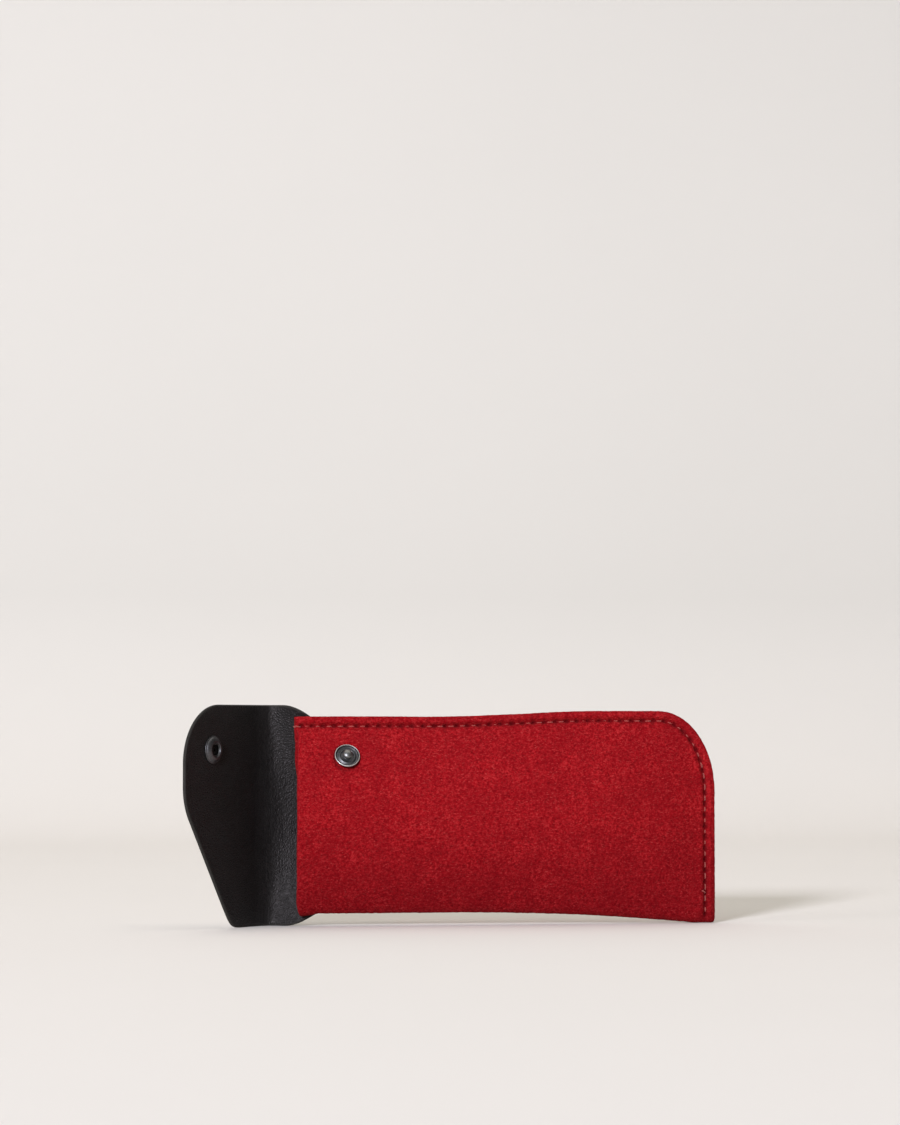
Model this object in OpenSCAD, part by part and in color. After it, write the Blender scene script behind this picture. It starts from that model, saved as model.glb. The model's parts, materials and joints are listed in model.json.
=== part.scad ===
// Felt spectacle sleeve with a leather snap flap.
// It stands on its long folded edge. The mouth is at the -X end, the sewn end at +X,
// the front panel faces -Y. The flap stands open and curls towards the front.

/* [Sleeve] */
// Length from the mouth to the sewn end
sleeve_length = 178; // [170:1:190]
// Height of the top edge at the sewn end
sleeve_height = 88.7; // [86:0.1:92]
// Height of the top edge at the mouth
mouth_height = 86.4; // [85:0.1:88]
// Thickness of one layer of felt
felt_thickness = 3; // [2.6:0.1:3.2]
// Outer radius of the top corner at the sewn end
corner_radius = 24; // [16:1:30]
// Distance from the cut edge to the stitch line
seam_width = 4.2; // [3.5:0.1:5]
// Swell of the front panel
front_swell = 10.8; // [8:0.1:11]
// Swell of the back panel
back_swell = 5.5; // [4:0.1:6]
// Height of the folded edge above the ground at the mouth
mouth_lift = 3.6; // [1:0.1:5]
// Height of the folded edge above the ground under the belly
belly_lift = 4.9; // [1:0.1:6]

/* [Flap] */
// Thickness of the leather
leather_thickness = 2; // [1.6:0.1:2.2]
// Height of the free flap
flap_height = 91; // [88:0.5:94]
// Length of the patch sewn to the back panel
patch_length = 45; // [38:1:55]
// Radius of the curl, on the middle of the leather
curl_radius = 22; // [20:0.5:26]
// Angle that the curl turns through
curl_angle = 48; // [42:1:50]
// Path from the mouth hinge to the second fold, half-way up
fold_path = 27.5; // [26:0.1:29]
// Slant of the second fold from upright
fold_slant = 4.7; // [3:0.1:7]
// Path from the mouth hinge to the tip of the flap
tip_path = 65; // [62:0.5:68]
// Slant of the lower edge of the tongue from upright
snip_slant = 33; // [29:0.5:36]

/* [Snap] */
// Distance of the stud from the mouth
stud_along = 20.4; // [18:0.1:22]
// Height of the stud where it leaves the felt
stud_height = 70.4; // [69:0.1:72]
// Upward tilt of the stud
stud_tilt = 20; // [16:0.1:22]
// Diameter of the stud's base ring
stud_ring_d = 10.5; // [9:0.1:10.8]
// Diameter of the stud's ball
ball_d = 4; // [3.6:0.1:4.2]
// Path from the mouth hinge to the socket
socket_path = 46.8; // [45:0.1:49]
// Height of the socket on the open flap
socket_height = 73; // [71:0.1:75]
// Diameter of the socket's flange
socket_flange_d = 11.4; // [10.4:0.1:12]
// Diameter of the hole that takes the ball
socket_hole_d = 4.8; // [4.6:0.1:5.2]
// Diameter of the cap on the outer face
cap_d = 12.4; // [11.6:0.1:13]

/* [Stitching] */
// Length of one stitch
stitch_pitch = 4.6; // [4:0.1:6]
// Diameter of the sewing thread
thread_d = 0.7; // [0.5:0.05:0.8]

/* [Hidden] */
$fn = 48;

// Sleeve section: each panel is an arc of a tall lens, one layer of felt thick
cavity_offset = 0.5;
seam_half = felt_thickness;
skin_offset = cavity_offset + felt_thickness;
seam_depth = seam_width + 2;
seam_ease = 1.9;
edge_round = 0.7;
least_swell = 0.02;
arc_steps = 10;
fold_steps = 4;
swell_start = 70;
swell_power = 2.4;
lift_start = 60;
lift_end = 170;
lift_power = 2.2;
rise_start = 75;
rise_end = 130;

// Leather patch on the back panel
leather_gap = 0.15;
patch_corner = 16;
patch_turn = 0.94;
patch_steps = 12;
patch_inset = 3.5;

// Hinge lines of the flap: the leather's end is rounded about the line it turns on
leather_half = leather_thickness / 2;
hinge_gap = 0.1;
hinge_pin_d = leather_thickness - 0.1;
mouth_hinge = [-leather_half - hinge_gap - 0.1, back_swell + skin_offset + leather_gap + leather_half];
fold_mid_height = 44;
curl_path = curl_radius * curl_angle * PI / 180;
curl_centre = [mouth_hinge.x, mouth_hinge.y - curl_radius];
curl_steps = 24;
tongue_corner = 24;
tongue_nose = 24;
nose_height = 56.5;
foot_round = 2;

// Snap parts, measured along each part's own axis
felt_hole_d = 3;
barrel_d = 2.5;
barrel_bore_d = 2.6;
stud_seat = -0.35;
stud_metal = 0.4;
stud_rim = 0.85;
ball_top = 2.75;
head_round = 0.9;
neck_r = 1.6;
eyelet_flange_d = 8;
socket_drum_d = 8.4;
socket_top = 1.9;
socket_metal = 0.35;
wire_d = 0.55;
wire_radius = 3.2;
wire_reach = 2.45;
cap_height = 2;
cap_metal = 0.4;

// Sewing
stitch_dip = 1.4;
stitch_ramp = 0.8;
thread_sides = 6;
thread_rise = 0.05;
seam_start = 2.5;
seam_end = 5;

// The whole case is set over the middle of its own footprint
curl_end = curl_centre + curl_radius * [-sin(curl_angle), cos(curl_angle)];
tongue_dir = [-cos(curl_angle), -sin(curl_angle)];
inner_dir = [sin(curl_angle), -cos(curl_angle)];
tip = curl_end + (tip_path - curl_path) * tongue_dir;
low_x = tip.x - leather_half * inner_dir.x;
low_y = tip.y + leather_half * inner_dir.y;
high_y = mouth_hinge.y + leather_half + thread_rise + thread_d / 2;
centre_shift = [-(sleeve_length + low_x) / 2, -(low_y + high_y) / 2, 0];

function clamp01(v) = min(max(v, 0), 1);
function smooth(v) = let (t = clamp01(v)) t * t * (3 - 2 * t);

// Drop of a round corner of radius r that ends at x = sleeve_length - inset
function corner_drop(x, inset) =
    let (r = corner_radius - inset, run = max(x - (sleeve_length - corner_radius), 0))
    r - sqrt(max(r * r - run * run, 0));

// Straight top edge, before the corner drops away
function straight_top(x) =
    mouth_height + (sleeve_height - mouth_height) * smooth((x - rise_start) / (rise_end - rise_start));

function skin_top(x) = straight_top(x) - corner_drop(x, 0);
function skin_bottom(x) =
    let (near = mouth_lift + (belly_lift - mouth_lift) * smooth(x / 10))
    near * (1 - pow(clamp01((x - lift_start) / (lift_end - lift_start)), lift_power));

// The lens that both panels bend around
function lens_low(x) = skin_bottom(x) + skin_offset;
function lens_high(x) =
    min(straight_top(x) - seam_depth - corner_drop(x, seam_depth), skin_top(x) - 4);
function lens_mid(x) = (lens_low(x) + lens_high(x)) / 2;
function swell(x, most) =
    let (run = sleeve_length - seam_depth - swell_start)
    max(most * (1 - pow(clamp01((x - swell_start) / run), swell_power)), least_swell);
function lens_radius(x, most) =
    let (b = swell(x, most), h = lens_high(x) - lens_low(x))
    (h * h / 4 + b * b) / (2 * b);
function lens_turn(x, most) = asin((lens_high(x) - lens_low(x)) / 2 / lens_radius(x, most));

// Point of a panel at angle a, lifted by d from the lens; side is +1 at the back
function panel_point(x, most, side, a, d) =
    let (r = lens_radius(x, most))
    [x, side * (swell(x, most) - r + (r + d) * cos(a)), lens_mid(x) + (r + d) * sin(a)];

// Skin offset thins into the flat seam at the sewn end
function skin_lift(x) =
    seam_half + cavity_offset * clamp01((sleeve_length - seam_width - x) / 10);

// Half of a section from just above the fold to the top, bottom to top
function half_section(x, most, side, d, top_points) =
    let (turn = lens_turn(x, most))
    concat(
        [for (k = [1:fold_steps - 1])
            let (a = -90 + (90 - turn) * k / fold_steps)
            [x, side * d * cos(a), lens_low(x) + d * sin(a)]],
        [for (k = [0:arc_steps]) panel_point(x, most, side, -turn + 2 * turn * k / arc_steps, d)],
        [for (p = top_points) [x, side * p[0], p[1]]]
    );

function reversed(list) = [for (k = [len(list) - 1:-1:0]) list[k]];

function section(x, d, top_points) =
    concat(
        [[x, 0, lens_low(x) - d]],
        half_section(x, back_swell, 1, d, top_points),
        reversed(half_section(x, front_swell, -1, d, top_points))
    );

function skin_section(x) =
    let (top = skin_top(x))
    section(x, skin_lift(x), [
        [seam_half, min(lens_high(x) + seam_ease, top - 2)],
        [seam_half, top - edge_round],
        [seam_half - edge_round, top]
    ]);

function cavity_section(x) =
    let (top = lens_high(x), d = cavity_offset)
    section(x, d, [for (a = [50, 65, 80]) [d * cos(a), top + d * sin(a)]]);

// Stations along the sleeve, closer together round the corner
function stations(inset) =
    let (turn_x = sleeve_length - corner_radius, r = corner_radius - inset)
    concat(
        [0, 2, 5, 9, 15, 22, 30, 40, 50, 60],
        [for (k = [1:8]) 60 + (turn_x - 60) * k / 8],
        [for (a = [15:15:90]) turn_x + r * sin(a)]
    );

// Side faces between rings of the same size; flip turns them inwards
function ring_faces(rings, size, first, flip) = [
    for (i = [0:rings - 2], j = [0:size - 1])
        let (
            a = first + i * size + j,
            b = first + i * size + (j + 1) % size,
            c = b + size,
            d = a + size
        )
        each flip ? [[a, b, c], [a, c, d]] : [[a, d, c], [a, c, b]]
];
function loop_range(first, size) = [for (j = [0:size - 1]) first + j];

module sleeve_shell() {
    outer = [for (x = stations(0)) skin_section(x)];
    inner = [for (x = stations(seam_depth)) cavity_section(x)];
    size = len(outer[0]);
    first_in = size * len(outer);
    points = concat([for (ring = outer) each ring], [for (ring = inner) each ring]);
    mouth = [
        for (j = [0:size - 1])
            let (k = (j + 1) % size)
            each [[j, k, first_in + k], [j, first_in + k, first_in + j]]
    ];
    faces = concat(
        ring_faces(len(outer), size, 0, false),
        ring_faces(len(inner), size, first_in, true),
        mouth,
        [reversed(loop_range(first_in - size, size))],
        [loop_range(first_in + size * (len(inner) - 1), size)]
    );
    polyhedron(points, faces, convexity = 6);
}

// Moves children onto the front panel at the stud, with +Z along the stud
stud_r = lens_radius(stud_along, front_swell) + skin_offset;
stud_foot = [
    stud_along,
    -(swell(stud_along, front_swell) - lens_radius(stud_along, front_swell)
        + sqrt(stud_r * stud_r - pow(stud_height - lens_mid(stud_along), 2))),
    stud_height
];
module at_stud() {
    translate(stud_foot) rotate([90 - stud_tilt, 0, 0]) children();
}

module place() {
    translate(centre_shift) children();
}

module felt_sleeve() {
    color([0.66, 0.10, 0.13])
    place() difference() {
        sleeve_shell();
        at_stud() {
            translate([0, 0, -felt_thickness - 1]) cylinder(d = felt_hole_d, h = felt_thickness + 2);
            translate([0, 0, stud_seat]) cylinder(d = stud_ring_d + 0.6, h = 4);
            translate([0, 0, -felt_thickness - 2]) cylinder(d = eyelet_flange_d + 0.6, h = 2.4);
        }
    }
}

// Half-height of the patch, as a share of the back panel's arc
function patch_half(x) =
    let (
        full = (lens_radius(x, back_swell) + skin_offset) * lens_turn(x, back_swell) * PI / 180 * patch_turn,
        run = max(x - (patch_length - patch_corner), 0)
    )
    full - patch_corner + sqrt(max(patch_corner * patch_corner - run * run, 0));
function back_point(x, q, d) =
    panel_point(x, back_swell, 1, q / (lens_radius(x, back_swell) + skin_offset) * 180 / PI, d);

module flap_patch() {
    turn_x = patch_length - patch_corner;
    xs = concat([0, 3, 7, 12, 20, turn_x], [for (a = [18:18:90]) turn_x + patch_corner * sin(a)]);
    low = skin_offset + leather_gap;
    rings = [
        for (x = xs)
            let (half = patch_half(x))
            concat(
                [for (k = [0:patch_steps]) back_point(x, half * (2 * k / patch_steps - 1), low)],
                [for (k = [patch_steps:-1:0])
                    back_point(x, half * (2 * k / patch_steps - 1), low + leather_thickness)]
            )
    ];
    size = len(rings[0]);
    faces = concat(
        ring_faces(len(rings), size, 0, true),
        [reversed(loop_range(0, size))],
        [loop_range(size * (len(rings) - 1), size)]
    );
    color([0.12, 0.11, 0.11])
    place() polyhedron([for (ring = rings) each ring], faces, convexity = 6);
}

// Frame of the flat tongue: X along the flap, Y up, Z out of the inner face
module at_tongue() {
    translate([curl_end.x, curl_end.y, 0])
    multmatrix([
        [tongue_dir.x, 0, inner_dir.x, 0],
        [tongue_dir.y, 0, inner_dir.y, 0],
        [0, 1, 0, 0],
        [0, 0, 0, 1]
    ])
    translate([-curl_path, 0, 0]) children();
}

// Slanted fold line, with +Y along it
module at_fold() {
    translate([fold_path, fold_mid_height, 0]) rotate([0, 0, fold_slant]) children();
}

// Plan outline of the spine: round the curl and straight on past the fold
function spine_outline() =
    let (
        outer_r = curl_radius + leather_half,
        inner_r = curl_radius - leather_half,
        past = (fold_path + flap_height * tan(fold_slant)) * tongue_dir
    )
    concat(
        arc_points(curl_centre, outer_r, 90, 90 + curl_angle, curl_steps),
        [curl_end - leather_half * inner_dir + past, curl_end + leather_half * inner_dir + past],
        arc_points(curl_centre, inner_r, 90 + curl_angle, 90, curl_steps)
    );

module flap_spine() {
    color([0.12, 0.11, 0.11])
    place() difference() {
        union() {
            linear_extrude(flap_height) polygon(spine_outline());
            translate([mouth_hinge.x, mouth_hinge.y, 0]) cylinder(d = hinge_pin_d, h = flap_height);
        }
        at_tongue() at_fold() translate([-leather_half - hinge_gap, -80, -5]) cube([90, 160, 10]);
    }
}

function arc_points(centre, r, a0, a1, steps) =
    [for (k = [0:steps]) let (a = a0 + (a1 - a0) * k / steps) centre + r * [cos(a), sin(a)]];

// Outline of the tongue, from the top of the fold round the tip to the foot
function tongue_outline() =
    let (
        slant = [-sin(snip_slant), -cos(snip_slant)],
        nose = [tip_path - tongue_nose, nose_height],
        nose_end = nose + tongue_nose * [cos(snip_slant), -sin(snip_slant)],
        foot = nose_end + slant * ((nose_end.y - foot_round * (1 - sin(snip_slant))) / cos(snip_slant)),
        foot_centre = foot + foot_round * [-cos(snip_slant), sin(snip_slant)]
    )
    concat(
        [[fold_path - (flap_height - fold_mid_height) * tan(fold_slant), flap_height]],
        arc_points([tip_path - tongue_corner, flap_height - tongue_corner], tongue_corner, 90, 0, 9),
        arc_points(nose, tongue_nose, 0, -snip_slant, 5),
        arc_points(foot_centre, foot_round, -snip_slant, -90, 4),
        [[fold_path + fold_mid_height * tan(fold_slant), 0]]
    );

module flap_tongue() {
    color([0.12, 0.11, 0.11])
    place() at_tongue() difference() {
        union() {
            translate([0, 0, -leather_half]) linear_extrude(leather_thickness) polygon(tongue_outline());
            intersection() {
                at_fold() rotate([90, 0, 0]) cylinder(d = hinge_pin_d, h = 160, center = true);
                translate([0, 0, -5]) cube([60, flap_height, 10]);
            }
        }
        translate([socket_path, socket_height, -5]) cylinder(d = felt_hole_d, h = 10);
    }
}

// Stud: dished base with a raised rim, a neck and a round head, bored for the eyelet
module snap_stud() {
    ring_r = stud_ring_d / 2;
    low = stud_seat + 0.05;
    head = [ball_d / 2 - head_round, ball_top - head_round];
    profile = concat(
        [[barrel_bore_d / 2, low], [ring_r - 0.3, low], [ring_r, low + 0.3], [ring_r, stud_rim - 0.2]],
        [[ring_r - 0.2, stud_rim], [ring_r - 0.55, stud_rim], [ring_r - 0.95, low + stud_metal]],
        [[neck_r + 0.9, low + stud_metal], [neck_r, low + stud_metal + 0.45]],
        arc_points(head, head_round, -45, 84, 10),
        [[0, ball_top], [0, ball_top - 0.4], [barrel_bore_d / 2, ball_top - 0.4]]
    );
    color([0.36, 0.35, 0.34]) place() at_stud() rotate_extrude() polygon(profile);
}

module stud_eyelet() {
    flange_r = eyelet_flange_d / 2;
    seat = -felt_thickness + 0.35;
    color([0.45, 0.43, 0.40])
    place() at_stud() rotate_extrude() polygon([
        [0.8, seat - 0.5], [flange_r - 0.25, seat - 0.5], [flange_r, seat - 0.25], [flange_r - 0.2, seat],
        [barrel_d / 2, seat], [barrel_d / 2, ball_top - 0.5], [0.8, ball_top - 0.5]
    ]);
}

module at_socket() {
    at_tongue() translate([socket_path, socket_height, leather_half]) children();
}

// Socket: flange with a rolled rim and a drum that holds the spring
module snap_socket() {
    flange_r = socket_flange_d / 2;
    drum_r = socket_drum_d / 2;
    hole_r = socket_hole_d / 2;
    low = 0.02;
    color([0.36, 0.35, 0.34])
    place() at_socket() rotate_extrude() polygon([
        [barrel_bore_d / 2, low], [flange_r - 0.3, low], [flange_r, low + 0.25], [flange_r - 0.1, 0.6],
        [flange_r - 0.45, 0.65], [drum_r + 0.35, socket_metal + 0.1], [drum_r, 0.75],
        [drum_r - 0.1, socket_top - 0.35], [drum_r - 0.45, socket_top], [hole_r + 0.3, socket_top],
        [hole_r, socket_top - 0.3], [hole_r, socket_top - 0.45], [drum_r - 0.45, socket_top - 0.45],
        [drum_r - 0.45, socket_metal], [barrel_bore_d / 2, socket_metal]
    ]);
}

// Spring wire: two bars beside the hole, joined by a bow along the drum wall
module socket_spring() {
    turn = asin(wire_reach / wire_radius);
    level = (socket_metal + socket_top - 0.45) / 2;
    path = concat(
        arc_points([0, 0], wire_radius, 180 - turn + 30, 180 - turn, 3),
        arc_points([0, 0], wire_radius, turn, -turn, 8),
        arc_points([0, 0], wire_radius, 180 + turn, 180 + turn - 30, 3)
    );
    color([0.62, 0.60, 0.57])
    place() at_socket() tube([for (p = path) [p[0], p[1], level]], [for (p = path) [0, 0, 1]], wire_d, 8);
}

module at_cap() {
    at_tongue() translate([socket_path, socket_height, -leather_half]) mirror([0, 0, 1]) children();
}

// Cap: thin domed shell rolled in at its edge
module cap_shell() {
    r = cap_d / 2;
    dome_r = (r * r + cap_height * cap_height) / (2 * cap_height);
    turn = asin((r - 0.3) / dome_r);
    dome = [0, 0.02 + cap_height - dome_r];
    color([0.36, 0.35, 0.34])
    place() at_cap() rotate_extrude() polygon(concat(
        [[r - 1.4, 0.02], [r - 0.3, 0.02], [r, 0.3]],
        arc_points(dome, dome_r, 90 - turn, 90, 8),
        arc_points(dome, dome_r - cap_metal, 90, 90 - turn + 8, 8),
        [[r - 1.4, 0.3]]
    ));
}

// Post: disc inside the cap, barrel through the leather, end rolled over in the socket
module cap_post() {
    disc_r = cap_d / 2 - 1.6;
    color([0.45, 0.43, 0.40])
    place() at_cap() rotate_extrude() polygon([
        [0.8, 0.02], [0.8, -leather_thickness - 0.75], [1.8, -leather_thickness - 0.65],
        [1.8, -leather_thickness - 0.45], [barrel_d / 2, -leather_thickness - 0.4],
        [barrel_d / 2, 0.02], [disc_r, 0.02], [disc_r, 0.35], [0.8, 0.35]
    ]);
}

// Tube swept along points; the ring of each point faces along the path
module tube(points, outs, d, sides) {
    count = len(points);
    function unit(v) = v / norm(v);
    rings = [
        for (i = [0:count - 1])
            let (
                ahead = unit(points[min(i + 1, count - 1)] - points[max(i - 1, 0)]),
                side = unit(cross(ahead, outs[i])),
                out = cross(side, ahead)
            )
            [for (k = [0:sides - 1])
                points[i] + d / 2 * (cos(k * 360 / sides) * out + sin(k * 360 / sides) * side)]
    ];
    faces = concat(
        ring_faces(count, sides, 0, false),
        [loop_range(0, sides)],
        [reversed(loop_range(sides * (count - 1), sides))]
    );
    polyhedron([for (ring = rings) each ring], faces, convexity = 10);
}

module sewing(points, outs) {
    color([0.50, 0.24, 0.22]) place() tube(points, outs, thread_d, thread_sides);
}

// A stitch rises out of its needle hole, lies on the surface and goes down again
function stitch_marks(total) =
    let (count = floor(total / stitch_pitch), pitch = total / count)
    concat(
        [for (k = [0:count - 1]) each [
            [k * pitch, -stitch_dip], [k * pitch + stitch_ramp, thread_rise],
            [(k + 1) * pitch - stitch_ramp, thread_rise]
        ]],
        [[total, -stitch_dip]]
    );

// Seam line: along the top, round the corner and down the sewn end
seam_r = corner_radius - seam_width;
seam_top_run = sleeve_length - corner_radius - seam_start;
seam_turn_run = seam_r * PI / 2;
seam_run = seam_top_run + seam_turn_run + sleeve_height - corner_radius - seam_end;
function seam_point(d) =
    d < seam_top_run ? [seam_start + d, straight_top(seam_start + d) - seam_width]
    : d < seam_top_run + seam_turn_run
    ? let (a = 90 - (d - seam_top_run) / seam_r * 180 / PI)
        [sleeve_length - corner_radius + seam_r * cos(a), sleeve_height - corner_radius + seam_r * sin(a)]
    : [sleeve_length - seam_width, sleeve_height - corner_radius - (d - seam_top_run - seam_turn_run)];

module seam_thread(side) {
    marks = stitch_marks(seam_run);
    points = [
        for (m = marks)
            let (p = seam_point(m[0]))
            [p[0], side * (seam_half + m[1]), p[1]]
    ];
    sewing(points, [for (m = marks) [0, side, 0]]);
}
module seam_thread_front() {
    seam_thread(-1);
}
module seam_thread_back() {
    seam_thread(1);
}

// Stitch line of the patch: a closed box with round far corners, inset from the edge
box_r = patch_corner - patch_inset;
box_far = patch_length - patch_inset;
box_side = box_far - box_r - patch_inset;
box_top = patch_half(0) - patch_inset;
box_end = 2 * (box_top - box_r);
box_run = 2 * box_side + box_r * PI + box_end;
function box_point(d) =
    d < box_side ? [patch_inset + d, box_top]
    : d < box_side + box_r * PI / 2
    ? let (a = 90 - (d - box_side) / box_r * 180 / PI)
        [box_far - box_r + box_r * cos(a), box_top - box_r + box_r * sin(a)]
    : d < box_run / 2 ? [box_far, box_run / 2 - d]
    : let (p = box_point(box_run - d)) [p[0], -p[1]];

module patch_thread(level, side) {
    marks = stitch_marks(box_run - 0.01);
    points = [
        for (m = marks)
            let (p = box_point(m[0]))
            back_point(p[0], p[1], level + side * m[1])
    ];
    outs = [
        for (m = marks)
            let (p = box_point(m[0]))
            side * (back_point(p[0], p[1], 1) - back_point(p[0], p[1], 0))
    ];
    sewing(points, outs);
}
module patch_thread_outer() {
    patch_thread(skin_offset + leather_gap + leather_thickness, 1);
}
module patch_thread_inner() {
    patch_thread(cavity_offset, -1);
}

felt_sleeve();
flap_patch();
flap_spine();
flap_tongue();
snap_stud();
stud_eyelet();
snap_socket();
socket_spring();
cap_shell();
cap_post();
seam_thread_front();
seam_thread_back();
patch_thread_outer();
patch_thread_inner();
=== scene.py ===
"""A felt spectacle sleeve with a leather snap flap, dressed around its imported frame.

Shapes are worked out in millimetres in the sleeve's own axes: x runs from the mouth to the sewn end, y from
the seam plane to the back panel, z up from the ground. They become metres in the frame when a mesh is made.
"""

import json
import math

import bpy
import numpy as np
from mathutils import Matrix, Vector


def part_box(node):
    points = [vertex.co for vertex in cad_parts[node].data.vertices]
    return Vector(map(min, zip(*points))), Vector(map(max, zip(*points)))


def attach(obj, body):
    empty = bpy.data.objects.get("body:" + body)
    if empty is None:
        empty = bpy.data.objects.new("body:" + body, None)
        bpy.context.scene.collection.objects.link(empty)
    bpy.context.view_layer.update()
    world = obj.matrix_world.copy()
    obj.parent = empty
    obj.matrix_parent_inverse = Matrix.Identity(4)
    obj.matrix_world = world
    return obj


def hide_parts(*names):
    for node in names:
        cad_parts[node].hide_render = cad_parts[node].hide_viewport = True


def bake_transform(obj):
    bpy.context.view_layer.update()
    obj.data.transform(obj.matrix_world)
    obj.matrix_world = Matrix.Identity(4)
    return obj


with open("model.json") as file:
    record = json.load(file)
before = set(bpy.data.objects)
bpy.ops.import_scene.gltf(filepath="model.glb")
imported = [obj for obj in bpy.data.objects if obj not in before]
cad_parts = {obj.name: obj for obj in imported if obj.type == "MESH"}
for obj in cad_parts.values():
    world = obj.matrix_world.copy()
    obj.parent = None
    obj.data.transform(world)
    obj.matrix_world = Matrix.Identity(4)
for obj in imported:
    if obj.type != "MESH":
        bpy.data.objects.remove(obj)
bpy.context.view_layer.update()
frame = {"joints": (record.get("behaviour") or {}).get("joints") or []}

MM = 0.001

# Sleeve: one felt blank, folded below and sewn above and at the far end
SLEEVE_HEIGHT = 88.7
MOUTH_HEIGHT = 86.4
FELT = 3.0
CORNER_RADIUS = 24.0
CORNER_TALL = 33.5
SEAM_WIDTH = 4.2
SEAM_DEPTH = SEAM_WIDTH + 2.0
FRONT_SWELL = 10.8
BACK_SWELL = 5.5
MOUTH_LIFT = 4.1
BELLY_LIFT = 5.2
CAVITY = 0.5
FELT_EDGE = 1.2
TOP_EASE = 0.3

# Long curves of the sleeve: distance from the mouth where each starts, its run and its power
RISE_FROM = 58
RISE_RUN = 72
ARCH_FROM = 60
ARCH_RUN = 110
ARCH_POWER = 2.2
SWELL_FROM = 70
SWELL_POWER = 2.4
LEAST_SWELL = 0.02

# Flap: one piece of leather
LEATHER = 2.0
LEATHER_EDGE = 0.6
LEATHER_GAP = 0.15
FLAP_HEIGHT = 91.4
PATCH_LENGTH = 45.0
PATCH_CORNER = 16.0
PATCH_LOW = 8.0
PATCH_HIGH = 80.0
CURL_RADIUS = 22.0
CURL_ANGLE = math.radians(48)
FOLD_PATH = 27.5
TIP_PATH = 65.8
TIP_CORNER = 24.0
NOSE_RADIUS = 24.8
NOSE_HEIGHT = 58.0
SNIP = math.radians(33)
FOOT_ROUND = 2.0
JOIN_PATH = 12.5

# Snap
STUD_RECESS = 0.95
EYELET_RECESS = 0.45
SPRING_RADIUS = 3.2
SPRING_HALF_CHORD = 2.45
STUD_X = 20.7
STUD_Z = 70.2
STUD_TILT = math.radians(31)
STUD_RING = 5.25
SOCKET_PATH = 46.8
SOCKET_Z = 73.0
CAP_RADIUS = 6.2

# Sewing
GROOVE_DEPTH = 1.05
HOLE_DEPTH = 1.05
PUFF_HEIGHT = 0.5
PITCH = 4.6
SEAM_START = 2.5
SEAM_END = 3.4
THREAD_SINK = 0.6
THREAD_DIVE = 2.3
PLY_RADIUS = 0.165
PLY_OFFSET = 0.14
PLY_TURNS = 2.5
PATCH_INSET = 3.5
PATCH_TURN = 0.94

felt_low, felt_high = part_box("felt_sleeve")
LENGTH = (felt_high.x - felt_low.x) / MM
seam_front, seam_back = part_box("seam_thread_front"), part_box("seam_thread_back")
ORIGIN = np.array([felt_low.x, (seam_front[0].y + seam_back[1].y) / 2, 0.0])
joints = {j["name"]: j for j in frame["joints"]}
HINGE = np.array(joints["mouth_fold"]["pos_m"]) / MM - ORIGIN / MM
CORNER_X = LENGTH - CORNER_RADIUS


def row(points):
    """Points in the sleeve's millimetres, as metres in the frame."""
    return np.asarray(points, float) * MM + ORIGIN


def smooth(t):
    """Ease from 0 to 1 as t does."""
    t = np.clip(t, 0, 1)
    return t * t * (3 - 2 * t)


# ---------------------------------------------------------------- noise


def lattice(ix, iy, iz, seed):
    """A repeatable random value from -1 to 1 at each whole-number point."""
    mixed = (ix * 374761393 + iy * 668265263 + iz * 2147483647 + seed * 1274126177) & 0xFFFFFFFF
    mixed = ((mixed ^ (mixed >> 13)) * 1103515245) & 0xFFFFFFFF
    mixed = ((mixed ^ (mixed >> 16)) * 1274126177) & 0xFFFFFFFF
    return mixed / 0x7FFFFFFF - 1.0


def value_noise(points, size, seed=0):
    """Smooth noise from -1 to 1 over points, with lumps about size across."""
    p = np.asarray(points, float) / size
    cell = np.floor(p).astype(np.int64)
    f = p - cell
    f = f * f * (3 - 2 * f)
    total = np.zeros(len(p))
    for dx in (0, 1):
        for dy in (0, 1):
            for dz in (0, 1):
                weight = (
                    np.abs(1 - dx - f[:, 0]) * np.abs(1 - dy - f[:, 1]) * np.abs(1 - dz - f[:, 2])
                )
                corner = lattice(cell[:, 0] + dx, cell[:, 1] + dy, cell[:, 2] + dz, seed)
                total += weight * corner
    return total


# ---------------------------------------------------------------- sleeve shape


def corner_drop(x, inset):
    """Drop of the cut edge, or a line inset from it, round the sewn corner."""
    run = np.maximum(x - CORNER_X, 0) / (CORNER_RADIUS - inset)
    return (CORNER_TALL - inset) * (1 - np.sqrt(np.maximum(1 - run * run, 0)))


def straight_top(x):
    """Height of the sleeve at x, before the sewn corner."""
    return MOUTH_HEIGHT + TOP_EASE + (SLEEVE_HEIGHT - MOUTH_HEIGHT) * smooth((x - RISE_FROM) / RISE_RUN)


def skin_bottom(x):
    """Height of the folded edge: lifted at the mouth and the belly, down at the sewn end."""
    near = MOUTH_LIFT + (BELLY_LIFT - MOUTH_LIFT) * smooth(x / 10)
    return near * (1 - np.clip((x - ARCH_FROM) / ARCH_RUN, 0, 1) ** ARCH_POWER)


def lens(x, most):
    """The arc that a panel bends round at x: radius, half turn, mid height, swell."""
    low = skin_bottom(x) + CAVITY + FELT
    high = min(
        straight_top(x) - SEAM_DEPTH - corner_drop(x, SEAM_DEPTH),
        straight_top(x) - corner_drop(x, 0) - 4,
    )
    run = LENGTH - SEAM_DEPTH - SWELL_FROM
    swell = max(most * (1 - np.clip((x - SWELL_FROM) / run, 0, 1) ** SWELL_POWER), LEAST_SWELL)
    height = high - low
    radius = (height * height / 4 + swell * swell) / (2 * swell)
    return radius, math.asin(height / 2 / radius), (low + high) / 2, swell


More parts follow.
